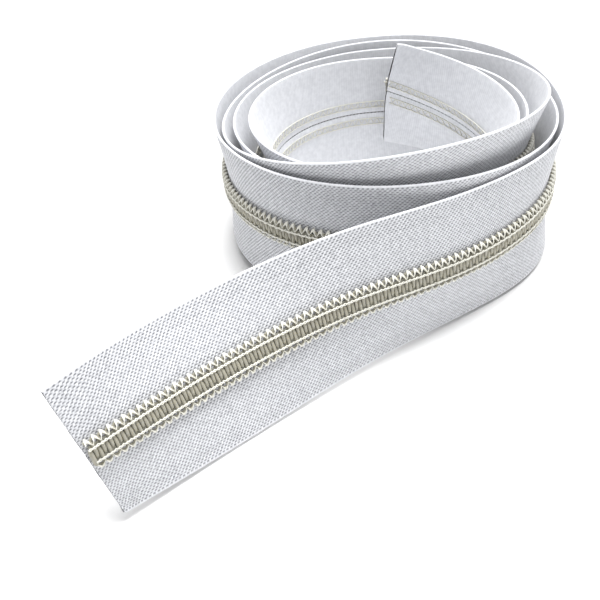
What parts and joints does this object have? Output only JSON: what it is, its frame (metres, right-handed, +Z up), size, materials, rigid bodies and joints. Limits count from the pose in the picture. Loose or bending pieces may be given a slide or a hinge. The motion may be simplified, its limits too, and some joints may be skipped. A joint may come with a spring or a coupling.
{
  "type": "zipper chain",
  "caption": "Length of coil zipper chain without a slider: two woven tapes with meshed nylon coils sewn on, loosely rolled on edge with a free tail, both ends cut raw.",
  "frame": {"origin": "on the table, under the middle of the object's bounding box", "axes": "+Z up, along the width of the rolled chain; the tail runs out towards -X and -Y; the roll is round a line along +Z through (0.016, 0.0216)"},
  "size_m": [0.1101, 0.1304, 0.0439],
  "materials": {
    "tape": "woven, matte",
    "coil": "moulded, semi-gloss",
    "core_cord": "twisted, matte",
    "outer_needle_thread": "spun thread, low sheen",
    "inner_needle_thread": "spun thread, low sheen",
    "looper_thread": "spun thread, low sheen"
  },
  "bodies": {
    "roll": {"upper_tape_roll": "tape", "upper_coil_roll": "coil", "upper_core_cord_roll": "core_cord", "upper_outer_needle_thread_roll": "outer_needle_thread", "upper_inner_needle_thread_roll": "inner_needle_thread", "upper_looper_thread_roll": "looper_thread", "lower_tape_roll": "tape", "lower_coil_roll": "coil", "lower_core_cord_roll": "core_cord", "lower_outer_needle_thread_roll": "outer_needle_thread", "lower_inner_needle_thread_roll": "inner_needle_thread", "lower_looper_thread_roll": "looper_thread"},
    "inner_end": {"upper_tape_inner_end": "tape", "upper_coil_inner_end": "coil", "upper_core_cord_inner_end": "core_cord", "upper_outer_needle_thread_inner_end": "outer_needle_thread", "upper_inner_needle_thread_inner_end": "inner_needle_thread", "upper_looper_thread_inner_end": "looper_thread", "lower_tape_inner_end": "tape", "lower_coil_inner_end": "coil", "lower_core_cord_inner_end": "core_cord", "lower_outer_needle_thread_inner_end": "outer_needle_thread", "lower_inner_needle_thread_inner_end": "inner_needle_thread", "lower_looper_thread_inner_end": "looper_thread"},
    "tail": {"upper_tape_tail": "tape", "upper_coil_tail": "coil", "upper_core_cord_tail": "core_cord", "upper_outer_needle_thread_tail": "outer_needle_thread", "upper_inner_needle_thread_tail": "inner_needle_thread", "upper_looper_thread_tail": "looper_thread", "lower_tape_tail": "tape", "lower_coil_tail": "coil", "lower_core_cord_tail": "core_cord", "lower_outer_needle_thread_tail": "outer_needle_thread", "lower_inner_needle_thread_tail": "inner_needle_thread", "lower_looper_thread_tail": "looper_thread"},
    "upper_end": {"upper_tape_cut_end": "tape", "upper_coil_cut_end": "coil", "upper_core_cord_cut_end": "core_cord", "upper_outer_needle_thread_cut_end": "outer_needle_thread", "upper_inner_needle_thread_cut_end": "inner_needle_thread", "upper_looper_thread_cut_end": "looper_thread"},
    "lower_end": {"lower_tape_cut_end": "tape", "lower_coil_cut_end": "coil", "lower_core_cord_cut_end": "core_cord", "lower_outer_needle_thread_cut_end": "outer_needle_thread", "lower_inner_needle_thread_cut_end": "inner_needle_thread", "lower_looper_thread_cut_end": "looper_thread"}
  },
  "joints": [
    {"name": "inner_end_flex", "type": "hinge", "parent": "roll", "child": "inner_end", "pos_m": [0.03353, 0.03097, 0.01985], "axis": [-0.0548, -0.0532, 0.9971], "range_deg": [0, 45]},
    {"name": "tail_swing", "type": "hinge", "parent": "roll", "child": "tail", "pos_m": [0.04666, -0.00349, 0.01625], "axis": [0.0114, -0.0074, 0.9999], "range_deg": [0, 60]},
    {"name": "upper_end_open", "type": "hinge", "parent": "tail", "child": "upper_end", "pos_m": [-0.03401, -0.03927, 0.02855], "axis": [-0.5283, 0.7331, -0.4283], "range_deg": [0, 12]},
    {"name": "lower_end_open", "type": "hinge", "parent": "tail", "child": "lower_end", "pos_m": [-0.02626, -0.05003, 0.00057], "axis": [0.5283, -0.7331, 0.4283], "range_deg": [0, 4]}
  ]
}
